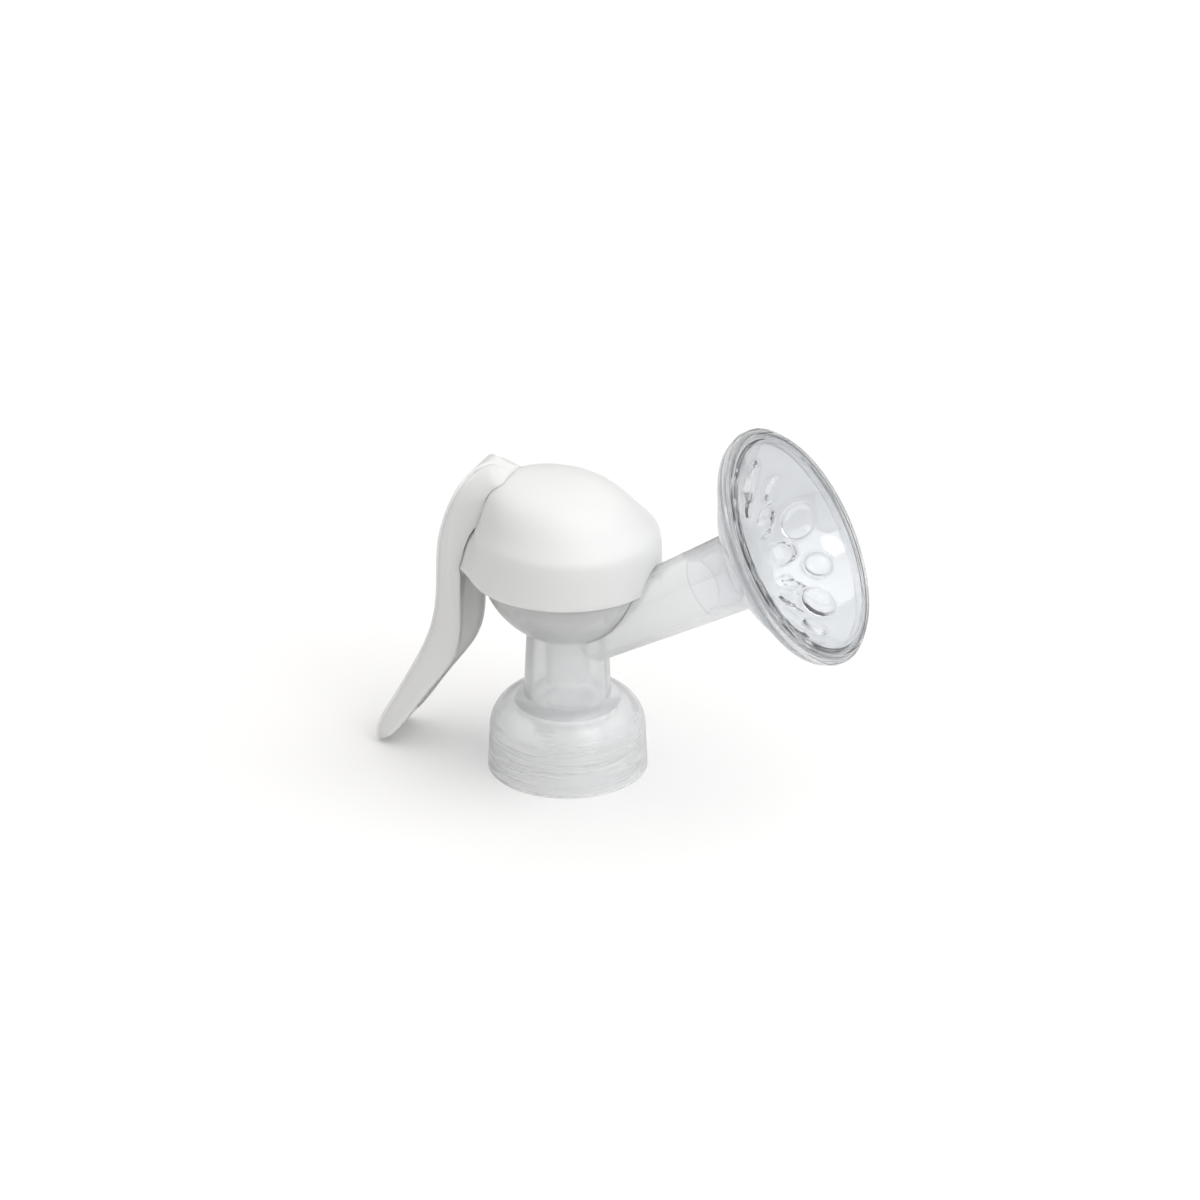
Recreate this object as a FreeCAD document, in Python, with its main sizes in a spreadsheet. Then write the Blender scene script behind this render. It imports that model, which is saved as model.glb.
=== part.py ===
import FreeCAD, Part
import math
import os
import types

import Sketcher

# Hand-operated breast pump, in millimetres.
# Origin: where the neck's axis meets the plane of the base skirt's open mouth.
# +Z runs up the neck, the funnel leans out towards +X and the lever hangs on the -X side.
# The XZ plane is the plane of symmetry.

DRIVING = {
    # walls and running gaps
    "wall": 1.7,                # clear polypropylene of the pump body
    "shell_wall": 1.8,          # white polypropylene of the cover and the handle
    "silicone": 1.5,            # lining of the funnel
    "skin": 1.1,                # diaphragm
    "seat_gap": 0.1,            # silicone or a cover seated on another piece
    "swing_gap": 0.5,           # between the handle and the cover it hugs
    "pin_gap": 0.05,            # hinge pin in its holes, on the radius
    # threaded skirt and neck
    "skirt_radius": 21.9,
    "skirt_draft": 0.6,
    "skirt_height": 11.6,
    "bottle_radius": 19.9,      # inside wall that takes the bottle's neck
    "bottle_depth": 11.5,
    "mouth_radius": 20.2,       # plain lead-in below the thread
    "mouth_depth": 2.4,
    "socket_curve": 9.0,
    "shoulder_radius": 10.6,
    "neck_radius": 11.9,
    "neck_draft": 0.9,
    "neck_base": 21.8,
    # round cup above the neck
    "cup_base": 40.8,
    "cup_curve": 23.5,
    "cup_radius": 23.6,
    "cup_lip": 60.5,
    "cup_rim": 63.0,
    "air_tube_radius": 6.0,
    "air_tube_end": 25.5,
    "air_tube_wall": 1.4,
    # outlet spout and its duckbill valve
    "spout_radius": 7.6,
    "spout_bore": 5.8,
    "spout_length": 5.0,
    "floor": 1.6,
    "valve_flange": 13.5,
    "valve_wall": 1.3,
    "valve_length": 13.5,
    "flange_thickness": 1.4,
    "beak_taper": 1.6,
    "beak_slit": 0.25,
    # bottle thread
    "thread_pitch": 4.2,
    "thread_depth": 1.1,
    "thread_rise": 6.3,
    "thread_start": 3.8,
    "thread_crest": 0.8,
    "thread_root": 2.2,
    # arm and funnel, on their own tilted axis
    "funnel_x": 64.85,
    "funnel_z": 75.6,
    "funnel_tilt": 31.0,
    "arm_root_radius": 8.1,
    "arm_radius": 10.6,
    "throat": 18.4,             # where the arm begins to flare
    "flare_radius": 4.5,
    "waist": 14.2,
    "waist_radius": 13.5,
    "bell_curve": 40.0,
    "bell_radius": 31.2,
    "rim": 2.2,
    "rim_step": 0.6,
    "stem_end": 29.2,
    "lip_thickness": 1.5,
    "lip_wrap": 2.8,
    "lip_round": 1.4,
    "face_round": 3.0,
    # white cover
    "cover_base": 57.3,
    "cover_radius": 25.8,
    "cover_draft": 1.3,
    "cover_side": 69.0,
    "cover_top": 83.9,
    "cover_x": -0.3,
    "shoulder_x": 0.5,
    "crown_x": -6.5,
    "crown_radius": 7.5,
    "lug_radius": 6.3,
    "lug_reach": 24.9,
    "slot_top": 80.0,
    "slot_gap": 0.3,
    "press_height": 1.2,
    # handle
    "handle_width": 20.4,
    "hinge_rise": 3.2,
    "hinge_inset": 2.6,
    "pin_radius": 1.5,
    "arm_width": 7.2,
    "cheek_step": 0.6,
    "arch_base": 75.0,          # the head is shaped like a pointed arch, seen along X
    "arch_top": 87.3,
    "strip_arch": 0.8,
    "head_cavity": 10.0,
    "boss_radius": 3.2,
    "boss_gap": 13.6,
    "pin_cap": 0.8,
    "fork_gap": 3.8,
    "fork_root": 1.2,
    "fork_reach": 6.0,
    # diaphragm stem
    "stem_radius": 1.6,
    "stem_head": 4.0,
    "fork_height": 70.5,
    "head_slack": 0.5,
    "head_height": 2.0,
    "head_bevel": 0.8,
    "disc_thickness": 1.6,
    "disc_step": 0.8,
    "hub_height": 48.0,
    "hub_radius": 5.5,
    "collar_height": 2.4,
    "collar_bevel": 1.5,
    "fold_height": 45.0,
    "fold_radius": 12.6,
    "fold_inner": 9.3,
    "hub_skirt": 7.1,
    "bead_height": 1.6,
    # how far a cut runs past the face it opens, and a boss into the wall it stands on
    "past": 1.0,
    "bite": 0.4,
}


class Size:
    """A number that carries the sheet formula it comes from."""

    def __init__(self, value, text):
        self.value = value
        self.text = text

    def _with(self, other, sign, result):
        other_text = other.text if isinstance(other, Size) else repr(float(other))
        return Size(result, "(%s %s %s)" % (self.text, sign, other_text))

    def __add__(self, other):
        return self._with(other, "+", self.value + number(other))

    def __sub__(self, other):
        return self._with(other, "-", self.value - number(other))

    def __mul__(self, other):
        return self._with(other, "*", self.value * number(other))

    def __truediv__(self, other):
        return self._with(other, "/", self.value / number(other))

    def __neg__(self):
        return Size(-self.value, "(-1 * %s)" % self.text)

    def __radd__(self, other):
        return constant(other) + self

    def __rsub__(self, other):
        return constant(other) - self

    def __rmul__(self, other):
        return constant(other) * self


def number(size):
    return size.value if isinstance(size, Size) else float(size)


def constant(value):
    return value if isinstance(value, Size) else Size(float(value), repr(float(value)))


def root(size):
    return Size(math.sqrt(size.value), "sqrt(%s)" % size.text)


def cosine(size):
    return Size(math.cos(math.radians(size.value)), "cos(%s)" % size.text)


doc = FreeCAD.newDocument("BreastPump")
sheet = doc.addObject("Spreadsheet::Sheet", "Sizes")
for row, (alias, value) in enumerate(DRIVING.items(), start=1):
    sheet.set("A%d" % row, alias)
    sheet.set("B%d" % row, str(value))
    sheet.setAlias("B%d" % row, alias)
doc.recompute()
s = types.SimpleNamespace(**{alias: Size(float(value), "Sizes." + alias)
                             for alias, value in DRIVING.items()})


# ---------------------------------------------------------------- drawing helpers

def bind(thing, prop, size):
    """Ties one property of an object to the sheet."""
    thing.setExpression(prop, constant(size).text)


def new_body(label):
    body = doc.addObject("PartDesign::Body", label)
    body.Label = label
    return body


def new_sketch(body, name, role="XZ_Plane", lift=0, at=(0, 0), turn=0):
    """A sketch on one of the body's own planes, lifted off it, moved and turned in it."""
    sketch = body.newObject("Sketcher::SketchObject", name)
    plane = [f for f in body.Origin.OriginFeatures if f.Role == role][0]
    sketch.AttachmentSupport = [(plane, "")]
    sketch.MapMode = "FlatFace"
    spin = FreeCAD.Rotation(FreeCAD.Vector(0, 0, 1), number(turn))
    base = FreeCAD.Vector(number(at[0]), number(at[1]), number(lift))
    sketch.AttachmentOffset = FreeCAD.Placement(base, spin)
    for axis, size in zip("xyz", (at[0], at[1], lift)):
        if isinstance(size, Size):
            bind(sketch, "AttachmentOffset.Base." + axis, size)
    if isinstance(turn, Size):
        bind(sketch, "AttachmentOffset.Rotation.Angle", turn)
    return sketch


def fix(sketch, geo, pos, point):
    """Holds one point of the sketch at a place worked out from the sheet."""
    for kind, size in (("DistanceX", point[0]), ("DistanceY", point[1])):
        index = sketch.addConstraint(Sketcher.Constraint(kind, -1, 1, geo, pos, number(size)))
        bind(sketch, "Constraints[%d]" % index, size)


def arc_middle(start, end, radius):
    """The middle of the short arc from start to end; a negative radius bends to the right."""
    (x0, y0), (x1, y1) = start, end
    half = math.hypot(x1 - x0, y1 - y0) / 2
    rise = abs(radius) - math.sqrt(max(radius * radius - half * half, 0.0))
    side = math.copysign(rise, radius) / (2 * half)
    return (x0 + x1) / 2 + (y1 - y0) * side, (y0 + y1) / 2 - (x1 - x0) * side


def spline_edge(sketch, poles):
    """A cubic edge drawn by its control points, each held at its place."""
    curve = Part.BSplineCurve()
    curve.buildFromPoles([FreeCAD.Vector(number(x), number(y), 0) for x, y in poles])
    geo = sketch.addGeometry(curve, False)
    sketch.exposeInternalGeometry(geo)
    for i, pole in enumerate(poles[1:-1], start=1):
        fix(sketch, geo + 1 + i, 3, pole)
    return geo


def outline(sketch, points):
    """A closed outline. A point is (x, y), (x, y, r) or (x, y, [poles]). A radius r makes the
    edge after the point an arc, bulging to the right of its direction where r is positive;
    poles make that edge a smooth curve."""
    count = len(points)
    flat = [(number(p[0]), number(p[1])) for p in points]
    first, last = [], []
    for i, point in enumerate(points):
        here, there = flat[i], flat[(i + 1) % count]
        a, b = FreeCAD.Vector(*here, 0), FreeCAD.Vector(*there, 0)
        if len(point) == 3 and isinstance(point[2], list):
            geo = spline_edge(sketch, [point[:2]] + point[2] + [points[(i + 1) % count][:2]])
            first.append((geo, 1))
            last.append((geo, 2))
            continue
        if len(point) == 2:
            geo = sketch.addGeometry(Part.LineSegment(a, b), False)
            first.append((geo, 1))
            last.append((geo, 2))
            continue
        middle = FreeCAD.Vector(*arc_middle(here, there, number(point[2])), 0)
        geo = sketch.addGeometry(Part.Arc(a, middle, b), False)
        forward = sketch.getPoint(geo, 1).distanceToPoint(a) < 1e-6
        first.append((geo, 1 if forward else 2))
        last.append((geo, 2 if forward else 1))
        radius = point[2] if number(point[2]) > 0 else -constant(point[2])
        index = sketch.addConstraint(Sketcher.Constraint("Radius", geo, abs(number(radius))))
        bind(sketch, "Constraints[%d]" % index, radius)
    for i, point in enumerate(points):
        fix(sketch, *first[i], point)
        sketch.addConstraint(Sketcher.Constraint("Coincident", *last[i - 1], *first[i]))


def circle(sketch, centre, radius):
    middle = FreeCAD.Vector(number(centre[0]), number(centre[1]), 0)
    geo = sketch.addGeometry(Part.Circle(middle, FreeCAD.Vector(0, 0, 1), number(radius)), False)
    index = sketch.addConstraint(Sketcher.Constraint("Radius", geo, number(radius)))
    bind(sketch, "Constraints[%d]" % index, radius)
    fix(sketch, geo, 3, centre)


def oval(sketch, across_x, across_y):
    """An ellipse about the axis, longest along X."""
    far, near = FreeCAD.Vector(number(across_x), 0, 0), FreeCAD.Vector(0, number(across_y), 0)
    geo = sketch.addGeometry(Part.Ellipse(far, near, FreeCAD.Vector(0, 0, 0)), False)
    sketch.exposeInternalGeometry(geo)
    fix(sketch, geo, 3, (0, 0))
    sketch.addConstraint(Sketcher.Constraint("Horizontal", geo + 1))
    for axis, reach in ((geo + 1, across_x), (geo + 2, across_y)):
        index = sketch.addConstraint(Sketcher.Constraint("Distance", axis, number(reach) * 2))
        bind(sketch, "Constraints[%d]" % index, reach * 2)


def turned(body, name, points, axis="V_Axis", cut=False, may_miss=False, **place):
    """A solid of revolution, or the space of one taken away. A cut that leaves room for a
    neighbour may miss the body at some sizes."""
    sketch = new_sketch(body, name + "_outline", **place)
    outline(sketch, points)
    kind = "PartDesign::Groove" if cut else "PartDesign::Revolution"
    feature = body.newObject(kind, name)
    feature.Profile = sketch
    feature.ReferenceAxis = (sketch, [axis])
    feature.Angle = 360
    return settle(body, feature, cut, may_miss)


def padded(body, name, draw, width, cut=False, role="XZ_Plane", **place):
    """A plate of the given width, centred on its plane, or the space of one taken away."""
    sketch = new_sketch(body, name + "_outline", role, **place)
    draw(sketch)
    feature = body.newObject("PartDesign::Pocket" if cut else "PartDesign::Pad", name)
    feature.Profile = sketch
    feature.Midplane = True
    feature.Length = number(width)
    bind(feature, "Length", width)
    return settle(body, feature, cut)


def lofted(body, name, sections, cut=False):
    """A solid drawn through flat sections, each (height, function that draws it)."""
    sketches = []
    for i, (height, draw) in enumerate(sections):
        sketch = new_sketch(body, "%s_section_%d" % (name, i), "XY_Plane", lift=height)
        draw(sketch)
        sketches.append(sketch)
    kind = "PartDesign::SubtractiveLoft" if cut else "PartDesign::AdditiveLoft"
    feature = body.newObject(kind, name)
    feature.Profile = sketches[0]
    feature.Sections = sketches[1:]
    return settle(body, feature, cut)


def settle(body, feature, cut, may_miss=False):
    """Recomputes and makes sure that the feature added or removed material."""
    base = feature.BaseFeature
    feature.Refine = False
    doc.recompute()
    if feature.Shape.isNull():
        raise RuntimeError("%s failed: %s" % (feature.Name, feature.State))
    if base is not None:
        change = feature.Shape.Volume - base.Shape.Volume
        missed = abs(change) < 1e-3
        if (missed and not may_miss) or (not missed and (change > 0) == cut):
            raise RuntimeError("%s changed the volume by %.3f" % (feature.Name, change))
    return feature


# ---------------------------------------------------------------- pump body

funnel = {"at": (s.funnel_x, s.funnel_z), "turn": s.funnel_tilt, "axis": "H_Axis"}
arm_start = -(s.funnel_x / cosine(s.funnel_tilt))
cup_inside = s.cup_radius - s.wall
neck_top = s.neck_radius - s.neck_draft
ceiling = s.neck_base - s.wall - s.floor

# Shares of an offset of the funnel's wall, along its axis and across it, at waist and at rim.
WAIST_LEAN = (0.93, 0.36)
RIM_LEAN = (0.53, 0.85)
FACE_LEAN = 0.72
FOOT_LEAN = 0.3


def bell(offset, outward=True):
    """The funnel's wall line moved towards its axis by the offset: throat, waist and rim."""
    throat = (-s.throat, s.arm_radius - offset)
    waist = (-s.waist + offset * WAIST_LEAN[0], s.waist_radius - offset * WAIST_LEAN[1])
    rim = (-s.rim + offset * RIM_LEAN[0], s.bell_radius - s.rim_step - offset * RIM_LEAN[1])
    flare, curve = s.flare_radius + offset, s.bell_curve - offset
    if outward:
        return [throat + (flare,), waist + (-curve,), rim]
    return [rim + (curve,), waist + (-flare,), throat]


def tube(inner, outer, low, high):
    """Outline of a ring or a tube that stands on the axis."""
    return [(inner, low), (outer, low), (outer, high), (inner, high)]


def make_pump_body():
    """Clear moulding: threaded skirt, neck, cup, arm and funnel in one piece."""
    body = new_body("pump_body")
    turned(body, "funnel_outside", [(arm_start, 0), (arm_start, s.arm_root_radius)] + bell(0)
           + [(-s.rim / 2, s.bell_radius), (0, s.bell_radius), (0, 0)], **funnel)
    turned(body, "skirt_and_neck", [
        (0, 0), (s.skirt_radius, 0),
        (s.skirt_radius - s.skirt_draft, s.skirt_height, s.shoulder_radius),
        (s.neck_radius, s.neck_base), (neck_top, s.cup_base), (0, s.cup_base)])
    rim_inside = s.bell_radius - s.wall * FACE_LEAN
    turned(body, "funnel_inside", [(arm_start, 0), (arm_start, s.arm_root_radius - s.wall)]
           + bell(s.wall) + [(0, rim_inside), (s.past, rim_inside), (s.past, 0)],
           cut=True, **funnel)
    turned(body, "neck_inside", [
        (0, ceiling + s.floor), (s.neck_radius - s.wall, ceiling + s.floor),
        (neck_top - s.wall, s.cup_base), (0, s.cup_base)], cut=True)
    turned(body, "bottle_socket", [
        (0, -s.past), (s.mouth_radius, -s.past), (s.mouth_radius, s.mouth_depth),
        (s.bottle_radius, s.mouth_depth), (s.bottle_radius, s.bottle_depth, s.socket_curve),
        (s.valve_flange + s.swing_gap, ceiling), (0, ceiling)], cut=True)
    turned(body, "cup_outside", [
        (0, s.cup_base), (neck_top, s.cup_base, s.cup_curve), (s.cup_radius, s.cup_lip),
        (s.cup_radius, s.cup_rim), (0, s.cup_rim)])
    cup_floor = s.cup_base + s.wall
    cup_top = s.cup_rim + s.past
    turned(body, "cup_inside", [
        (0, cup_floor), (neck_top - s.wall * FOOT_LEAN, cup_floor, s.cup_curve - s.wall),
        (cup_inside, s.cup_lip), (cup_inside, cup_top), (0, cup_top)], cut=True)
    air_bore = s.air_tube_radius - s.air_tube_wall
    turned(body, "air_tube", tube(air_bore, s.air_tube_radius, s.air_tube_end,
                                  s.cup_base + s.bite))
    turned(body, "air_passage", tube(0, air_bore, s.air_tube_end - s.past,
                                     cup_floor + s.past), cut=True)
    spout_end = ceiling - s.spout_length
    turned(body, "spout", tube(0, s.spout_radius, spout_end, ceiling + s.bite))
    turned(body, "spout_bore", tube(0, s.spout_bore, spout_end - s.past,
                                    ceiling + s.floor + s.past), cut=True)
    thread = new_sketch(body, "thread_outline")
    crest, foot = s.bottle_radius - s.thread_depth, s.bottle_radius + s.bite
    outline(thread, [
        (foot, s.thread_start - s.thread_root / 2), (crest, s.thread_start - s.thread_crest / 2),
        (crest, s.thread_start + s.thread_crest / 2), (foot, s.thread_start + s.thread_root / 2)])
    helix = body.newObject("PartDesign::AdditiveHelix", "thread")
    helix.Profile = thread
    helix.ReferenceAxis = (thread, ["V_Axis"])
    helix.Mode = 0
    bind(helix, "Pitch", s.thread_pitch)
    bind(helix, "Height", s.thread_rise)
    settle(body, helix, False)
    return body


def make_massage_cushion():
    """Clear silicone lining of the funnel, with a stem in the arm and a lip over the rim."""
    body = new_body("massage_cushion")
    outer = s.wall + s.seat_gap
    inner = outer + s.silicone
    taper = ((s.arm_radius - s.arm_root_radius) * (s.stem_end - s.throat)
             / (-arm_start - s.throat))
    stem_radius = s.arm_radius - outer - taper
    edge = s.bell_radius + s.seat_gap
    lip = edge + s.lip_thickness
    face = s.lip_thickness + s.seat_gap
    turned(body, "lining", [
        (-s.stem_end, stem_radius - s.silicone), (-s.stem_end, stem_radius)] + bell(outer) + [
        (s.seat_gap, s.bell_radius - outer * FACE_LEAN), (s.seat_gap, edge),
        (-s.rim / 2, edge), (-s.lip_wrap, edge - s.rim_step),
        (-s.lip_wrap, lip - s.rim_step), (-s.rim / 2, lip),
        (s.seat_gap, lip, s.lip_round), (face, edge),
        (face, s.bell_radius - inner * FACE_LEAN, s.face_round)]
        + bell(inner, outward=False), **funnel)
    return body


# ---------------------------------------------------------------- valve and diaphragm

def make_duckbill_valve():
    """Silicone duckbill: a flange under the ceiling, a sleeve on the spout and a flat beak."""
    body = new_body("duckbill_valve")
    bore = s.spout_radius + s.seat_gap
    sleeve = bore + s.valve_wall
    top = ceiling - s.seat_gap
    flange = top - s.flange_thickness
    sleeve_end = ceiling - s.spout_length - s.past
    beak = top - s.valve_length
    turned(body, "sleeve", [
        (0, sleeve_end), (sleeve, sleeve_end), (sleeve, flange), (s.valve_flange, flange),
        (s.valve_flange, top), (0, top)])
    lofted(body, "beak", [
        (sleeve_end, lambda k: circle(k, (0, 0), sleeve)),
        (beak, lambda k: oval(k, sleeve - s.beak_taper, s.valve_wall + s.beak_slit))])
    turned(body, "sleeve_bore", tube(0, bore, sleeve_end, top + s.past), cut=True)
    lofted(body, "beak_inside", [
        (sleeve_end, lambda k: circle(k, (0, 0), bore)),
        (beak, lambda k: oval(k, bore - s.beak_taper, s.beak_slit))], cut=True)
    return body


stem_hole = s.stem_radius + s.pin_gap
bead_top = s.cup_rim + s.bead_height


def make_diaphragm():
    """Silicone bellows: a bead on the cup's rim, a skirt down the cup and a raised hub."""
    body = new_body("diaphragm")
    wall_line = cup_inside - s.seat_gap * 2
    curve = s.cup_curve - s.wall
    hub_top = s.hub_height + s.skin * 2
    seat = s.cup_rim + s.seat_gap
    turned(body, "bellows", [
        (stem_hole, s.hub_height), (s.hub_skirt, s.hub_height),
        (s.fold_inner, s.fold_height), (s.fold_radius, s.fold_height, curve),
        (wall_line, s.cup_lip), (wall_line, seat), (s.cup_radius, seat),
        (s.cup_radius, bead_top), (wall_line - s.skin, bead_top),
        (wall_line - s.skin, s.cup_lip, -(curve - s.skin)),
        (s.fold_radius - s.skin * FACE_LEAN, s.fold_height + s.skin),
        (s.fold_inner + s.skin * FACE_LEAN, s.fold_height + s.skin),
        (s.hub_skirt, hub_top), (stem_hole, hub_top)])
    return body


def make_diaphragm_stem():
    """White rod: a disc under the diaphragm's hub and a head above the handle's fork."""
    body = new_body("diaphragm_stem")
    disc = s.hub_height - s.seat_gap
    disc_radius = s.hub_radius + s.disc_step
    head = s.fork_height + s.head_slack
    turned(body, "rod", [
        (0, disc - s.disc_thickness), (disc_radius, disc - s.disc_thickness),
        (disc_radius, disc), (s.stem_radius, disc), (s.stem_radius, head), (s.stem_head, head),
        (s.stem_head, head + s.head_height - s.head_bevel),
        (s.stem_head - s.head_bevel, head + s.head_height), (0, head + s.head_height)])
    return body


def make_stem_retainer():
    """White push-on collar that holds the diaphragm's hub against the stem's disc."""
    body = new_body("stem_retainer")
    seat = s.hub_height + s.skin * 2 + s.seat_gap
    top = seat + s.collar_height
    bore = s.stem_radius + s.pin_gap
    turned(body, "collar", [
        (bore, seat), (s.hub_radius, seat), (s.hub_radius, top - s.collar_bevel),
        (s.hub_radius - s.collar_bevel, top), (bore, top)])
    return body


# ---------------------------------------------------------------- cover

# The dome above its side: height, drift and narrowing, each as a share of the whole.
DOME = [(0.0, 0.0, 0.0), (0.336, 0.286, 0.165), (0.638, 0.557, 0.335), (0.859, 0.843, 0.588),
        (1.0, 1.0, 1.0)]


def disc(x, radius):
    """Draws a circle on the plane of symmetry."""
    return lambda k: circle(k, (x, 0), radius)


def side_sections(extra, base):
    """The cover's straight side, grown by extra, from the base height to its shoulder."""
    return [(base, disc(s.cover_x, s.cover_radius + extra)),
            (s.cover_side, disc(s.shoulder_x, s.cover_radius - s.cover_draft + extra))]


def dome_sections(extra, top):
    """Circles of the cover's dome, grown by extra, from the shoulder to the top height."""
    side, lean = s.cover_radius - s.cover_draft, s.crown_x - s.shoulder_x
    return [(s.cover_side + (top - s.cover_side) * up,
             disc(s.shoulder_x + lean * across, side - (side - s.crown_radius) * less + extra))
            for up, across, less in DOME]


def teardrop(sketch, wide, wide_x, narrow, narrow_x):
    """The part of a teardrop behind a round cover: two tangents closed by a small arc."""
    reach = wide_x - narrow_x
    lean = (wide - narrow) / reach
    across = root(1 - lean * lean)
    outline(sketch, [
        (wide_x - wide * lean, -(wide * across)), (wide_x - wide * lean, wide * across),
        (narrow_x - narrow * lean, narrow * across, -narrow),
        (narrow_x - narrow * lean, -(narrow * across))])


# The hinge lug from its foot: height above the cover's base, narrowing of the cover's side,
# narrowing of the lug's end and how far that end draws in.
LUG = [(0.0, 0.0, 0.0, 0.0), (8.7, 0.0, 0.8, 1.6), (17.7, 4.5, 2.0, 8.0)]
LUG_BACK = 0.4


def lug_sections(extra, drop):
    """Teardrops of the cover's lug, grown by extra and carried below the base by drop."""
    sections = []
    for rise, side, end, inward in LUG:
        low = drop if rise == 0 else 0
        wide = s.cover_radius - (s.cover_draft if rise else 0) - side - LUG_BACK + extra
        wide_x = s.shoulder_x if rise else s.cover_x
        sections.append((s.cover_base + rise - low,
                         lambda k, w=wide, x=wide_x, e=end, i=inward: teardrop(
                             k, w, x, s.lug_radius - e + extra, -s.lug_reach + i)))
    return sections


hinge_x = -(s.lug_reach + s.lug_radius) + s.hinge_inset
hinge_z = s.cover_base + s.hinge_rise


def make_cover():
    """White shell over the cup: an off-centre dome with a hinge lug at its back."""
    body = new_body("cover")
    lofted(body, "side", side_sections(0, s.cover_base))
    lofted(body, "dome", dome_sections(0, s.cover_top))
    lofted(body, "lug", lug_sections(0, 0))
    press = bead_top + s.seat_gap
    socket, ring = s.cup_radius + s.seat_gap, cup_inside - s.cheek_step
    upper = s.cover_radius - s.cover_draft - s.shell_wall - s.shoulder_x
    turned(body, "hollow", [
        (0, s.cover_base - s.past), (socket, s.cover_base - s.past), (socket, press),
        (ring, press), (ring, press + s.press_height), (upper, press + s.press_height),
        (upper, s.cover_side), (0, s.cover_side)], cut=True)
    lofted(body, "dome_hollow", dome_sections(-s.shell_wall, s.cover_top - s.shell_wall),
           cut=True)
    slot = s.arm_width + s.slot_gap * 2
    outside = hinge_x - s.lug_radius
    rim_side = -s.cup_radius
    inside = rim_side + s.lug_radius
    padded(body, "arm_slot", lambda k: outline(k, [
        (outside, s.cover_base - s.past), (rim_side, s.cover_base - s.past),
        (rim_side, bead_top), (inside, bead_top), (inside, s.slot_top),
        (outside, s.slot_top)]), slot, cut=True)
    arm_gap = s.seat_gap * 3
    turned(body, "arm_notch", [
        (arm_start, 0), (arm_start, s.arm_root_radius + arm_gap),
        (-s.throat, s.arm_radius + arm_gap), (-s.throat, 0)], cut=True, may_miss=True, **funnel)
    padded(body, "pin_hole", lambda k: circle(k, (hinge_x, hinge_z), s.pin_radius + s.pin_gap),
           s.handle_width * 2, cut=True)
    return body


pin_room = s.handle_width - s.cheek_step * 2 - s.pin_cap * 2


def make_hinge_pin():
    """Steel pin through the cover's lug, the handle's arm and its two cheeks."""
    body = new_body("hinge_pin")
    padded(body, "rod", lambda k: circle(k, (hinge_x, hinge_z), s.pin_radius),
           pin_room - s.seat_gap * 2)
    return body


# ---------------------------------------------------------------- handle

# Control points of the handle's side view, from the hinge's axis: the back from the tip to the
# head, and the front from under the cover to the tip.
BACK = [(-24.3, -60.1), (-26.5, -56.9), (-20.6, -46.9), (-14.5, -35.9), (-8.0, -23.3),
        (-5.7, -10.0), (-6.2, 4.2), (-1.6, 17.0), (2.6, 24.2), (6.2, 26.8)]
FRONT = [(5.3, 9.2), (2.8, 5.7), (0.8, -3.2), (1.1, -16.0), (0.6, -29.6), (-8.1, -40.2),
         (-15.1, -50.7), (-20.2, -58.1), (-24.3, -60.1)]
HEAD_FRONT = (12.8, 23.8)
HEAD_INSIDE = (12.8, 9.2)
HEAD_CURVE = 7.0
# Shares of the arch's rise and of its half width where its two curves bend over.
ARCH_RISE, ARCH_TURN = 0.55, 0.45
# The strip down the spine is this much thicker than the wall.
STRIP_STEP = 0.1
# Radius of the fork's root as a share of its gap, and of the room round a boss as one of it.
SLOT_ROUND = 0.52
BOSS_ROOM = 1.5
# The arm and its fork: round the pin, over the cup's rim, out to the tip and back to the spine.
ARM = [(-4.9, -3.5), (2.8, -3.3), (3.0, 2.0), (5.4, 6.2), (11.6, 6.9), (34.6, 7.1), (34.6, 8.6),
       (27.1, 10.0), (10.4, 10.0), (6.6, 14.5), (3.6, 17.5), (0.7, 17.5), (-2.9, 9.5),
       (-4.4, 3.5)]
# The space between the cheeks, on its open side.
CAVITY_FRONT = [(24.0, 16.5), (24.0, -30.0), (-8.0, -56.4)]
CAVITY_START = (-22.6, -56.4)
CAVITY_END = (1.2, 16.5)
HEAD_CAVITY = [(-0.1, 13.6), (2.3, 18.2), (4.3, 21.4), (16.0, 21.4), (16.0, 13.6)]


def from_hinge(points):
    """Points given from the hinge's axis."""
    return [(hinge_x + x, hinge_z + z) for x, z in points]


def inset(points, amount):
    """Points moved to the right of the line they run along."""
    moved = []
    for i, (x, z) in enumerate(points):
        (x0, z0), (x1, z1) = points[max(i - 1, 0)], points[min(i + 1, len(points) - 1)]
        length = math.hypot(x1 - x0, z1 - z0)
        moved.append((hinge_x + x + amount * ((z1 - z0) / length),
                      hinge_z + z - amount * ((x1 - x0) / length)))
    return moved


def arch(sketch, half, top, side):
    """The room outside a pointed-oval head, seen along X: it shapes the head's two corners."""
    high = top + s.bite + s.shell_wall
    out = side + s.past
    lift = (top - s.arch_base) * ARCH_RISE
    turn = half * ARCH_TURN
    outline(sketch, [
        (-half, s.arch_base, [(-half, s.arch_base + lift), (-half + turn, top)]), (0, top, [
            (half - turn, top), (half, s.arch_base + lift)]), (half, s.arch_base),
        (out, s.arch_base), (out, high), (-out, high), (-out, s.arch_base)])


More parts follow.
